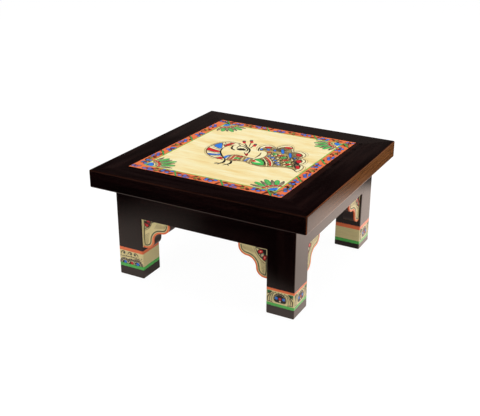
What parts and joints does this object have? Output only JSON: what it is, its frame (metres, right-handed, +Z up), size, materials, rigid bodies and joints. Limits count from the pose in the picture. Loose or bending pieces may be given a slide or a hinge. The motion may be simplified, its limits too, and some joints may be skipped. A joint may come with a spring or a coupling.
{
  "type": "low table",
  "caption": "Low square wooden table with a mitred frame round a painted board, square legs with painted feet, aprons and ogee corner brackets",
  "frame": {"origin": "on the floor under the middle of the table, in the plane of the feet", "axes": "+Z up, +X to the table's right, +Y to its back; the figure on the top stands upright seen from the front, which faces -Y"},
  "size_m": [0.3048, 0.3048, 0.1524],
  "materials": {
    "stained_wood": "very dark brown stain under satin lacquer",
    "painted_board": "cream ground with painted border and figure, under satin lacquer",
    "painted_bracket": "cream paint with orange edge, under satin lacquer",
    "bare_wood": "planed, unfinished",
    "screw_steel": "yellow zinc plate"
  },
  "bodies": {
    "root": {"apron_back": "stained_wood", "apron_front": "stained_wood", "apron_left": "stained_wood", "apron_right": "stained_wood", "bracket_back_at_left": "painted_bracket", "bracket_back_at_right": "painted_bracket", "bracket_front_at_left": "painted_bracket", "bracket_front_at_right": "painted_bracket", "bracket_left_at_back": "painted_bracket", "bracket_left_at_front": "painted_bracket", "bracket_right_at_back": "painted_bracket", "bracket_right_at_front": "painted_bracket", "corner_block_back_left": "bare_wood", "corner_block_back_right": "bare_wood", "corner_block_front_left": "bare_wood", "corner_block_front_right": "bare_wood", "leg_back_left": "stained_wood", "leg_back_right": "stained_wood", "leg_front_left": "stained_wood", "leg_front_right": "stained_wood", "leg_screws": "screw_steel", "mitre_tongue_back_left": "bare_wood", "mitre_tongue_back_right": "bare_wood", "mitre_tongue_front_left": "bare_wood", "mitre_tongue_front_right": "bare_wood", "picture_board": "painted_board", "rail_back": "stained_wood", "rail_front": "stained_wood", "rail_left": "stained_wood", "rail_right": "stained_wood", "top_screws": "screw_steel"}
  },
  "joints": []
}
